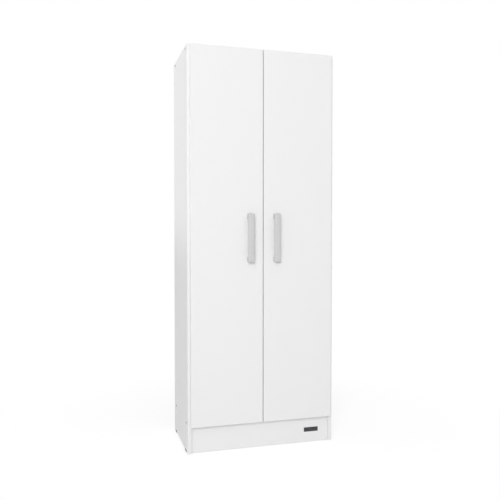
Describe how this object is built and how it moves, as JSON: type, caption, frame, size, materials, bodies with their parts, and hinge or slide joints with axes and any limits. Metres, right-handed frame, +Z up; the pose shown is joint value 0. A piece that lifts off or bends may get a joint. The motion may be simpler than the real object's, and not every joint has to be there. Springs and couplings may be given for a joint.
{
  "type": "broom cupboard",
  "caption": "Tall white broom cupboard with full-height doors on concealed hinges, bow handles, a recessed plinth, an open broom bay and a bay of adjustable shelves.",
  "frame": {"origin": "on the floor under the middle of the cupboard's whole width and depth, handles included", "axes": "+X to the right seen from the front, +Y from the front to the back, +Z up"},
  "size_m": [0.6, 0.3656, 1.58],
  "materials": {
    "white_melamine_board": "white melamine-faced chipboard, satin",
    "hardboard_back": "thin hardboard, white inside",
    "satin_silver_handle": "satin silver lacquer on moulded plastic",
    "hinge_nickel": "nickel-plated pressed steel",
    "assembly_screw_steel": "zinc-plated steel",
    "shelf_pin_plastic": "pale moulded plastic",
    "black_glide_plastic": "matt black moulded plastic"
  },
  "bodies": {
    "cabinet": {"side_panel_left": "white_melamine_board", "side_panel_right": "white_melamine_board", "top_panel": "white_melamine_board", "bottom_panel": "white_melamine_board", "divider": "white_melamine_board", "plinth": "white_melamine_board", "back_sheet": "hardboard_back", "assembly_screw_left_bottom_front": "assembly_screw_steel", "assembly_screw_left_bottom_back": "assembly_screw_steel", "assembly_screw_left_top_front": "assembly_screw_steel", "assembly_screw_left_top_back": "assembly_screw_steel", "assembly_screw_right_bottom_front": "assembly_screw_steel", "assembly_screw_right_bottom_back": "assembly_screw_steel", "assembly_screw_right_top_front": "assembly_screw_steel", "assembly_screw_right_top_back": "assembly_screw_steel", "glide_left_front": "black_glide_plastic", "glide_left_back": "black_glide_plastic", "glide_right_front": "black_glide_plastic", "glide_right_back": "black_glide_plastic", "shelf_low": "white_melamine_board", "shelf_middle": "white_melamine_board", "shelf_high": "white_melamine_board", "shelf_pin_low_inner_front": "shelf_pin_plastic", "shelf_pin_low_inner_back": "shelf_pin_plastic", "shelf_pin_low_outer_front": "shelf_pin_plastic", "shelf_pin_low_outer_back": "shelf_pin_plastic", "shelf_pin_middle_inner_front": "shelf_pin_plastic", "shelf_pin_middle_inner_back": "shelf_pin_plastic", "shelf_pin_middle_outer_front": "shelf_pin_plastic", "shelf_pin_middle_outer_back": "shelf_pin_plastic", "shelf_pin_high_inner_front": "shelf_pin_plastic", "shelf_pin_high_inner_back": "shelf_pin_plastic", "shelf_pin_high_outer_front": "shelf_pin_plastic", "shelf_pin_high_outer_back": "shelf_pin_plastic", "hinge_arm_left_low": "hinge_nickel", "hinge_arm_left_middle": "hinge_nickel", "hinge_arm_left_high": "hinge_nickel", "hinge_arm_right_low": "hinge_nickel", "hinge_arm_right_middle": "hinge_nickel", "hinge_arm_right_high": "hinge_nickel"},
    "left_door": {"door_left": "white_melamine_board", "handle_left": "satin_silver_handle", "handle_screw_left_bottom": "hinge_nickel", "handle_screw_left_top": "hinge_nickel", "hinge_cup_left_low": "hinge_nickel", "hinge_cup_left_middle": "hinge_nickel", "hinge_cup_left_high": "hinge_nickel"},
    "right_door": {"door_right": "white_melamine_board", "handle_right": "satin_silver_handle", "handle_screw_right_bottom": "hinge_nickel", "handle_screw_right_top": "hinge_nickel", "hinge_cup_right_low": "hinge_nickel", "hinge_cup_right_middle": "hinge_nickel", "hinge_cup_right_high": "hinge_nickel"},
    "left_hinge_links": {"hinge_link_left_low": "hinge_nickel", "hinge_link_left_middle": "hinge_nickel", "hinge_link_left_high": "hinge_nickel"},
    "right_hinge_links": {"hinge_link_right_low": "hinge_nickel", "hinge_link_right_middle": "hinge_nickel", "hinge_link_right_high": "hinge_nickel"}
  },
  "joints": [
    {"name": "left_door_swing", "type": "hinge", "parent": "cabinet", "child": "left_door", "pos_m": [-0.2855, -0.15025, 0.842], "axis": [0, 0, -1], "range_deg": [0, 105]},
    {"name": "right_door_swing", "type": "hinge", "parent": "cabinet", "child": "right_door", "pos_m": [0.2855, -0.15025, 0.842], "axis": [0, 0, 1], "range_deg": [0, 105]},
    {"name": "left_link_swing", "type": "hinge", "parent": "cabinet", "child": "left_hinge_links", "pos_m": [-0.2745, -0.14375, 0.842], "axis": [0, 0, -1], "range_deg": [0, 95]},
    {"name": "right_link_swing", "type": "hinge", "parent": "cabinet", "child": "right_hinge_links", "pos_m": [0.2745, -0.14375, 0.842], "axis": [0, 0, 1], "range_deg": [0, 95]}
  ],
  "couplings": [
    {"joint": "left_link_swing", "follows": "left_door_swing", "ratio": 0.9},
    {"joint": "right_link_swing", "follows": "right_door_swing", "ratio": 0.9}
  ]
}
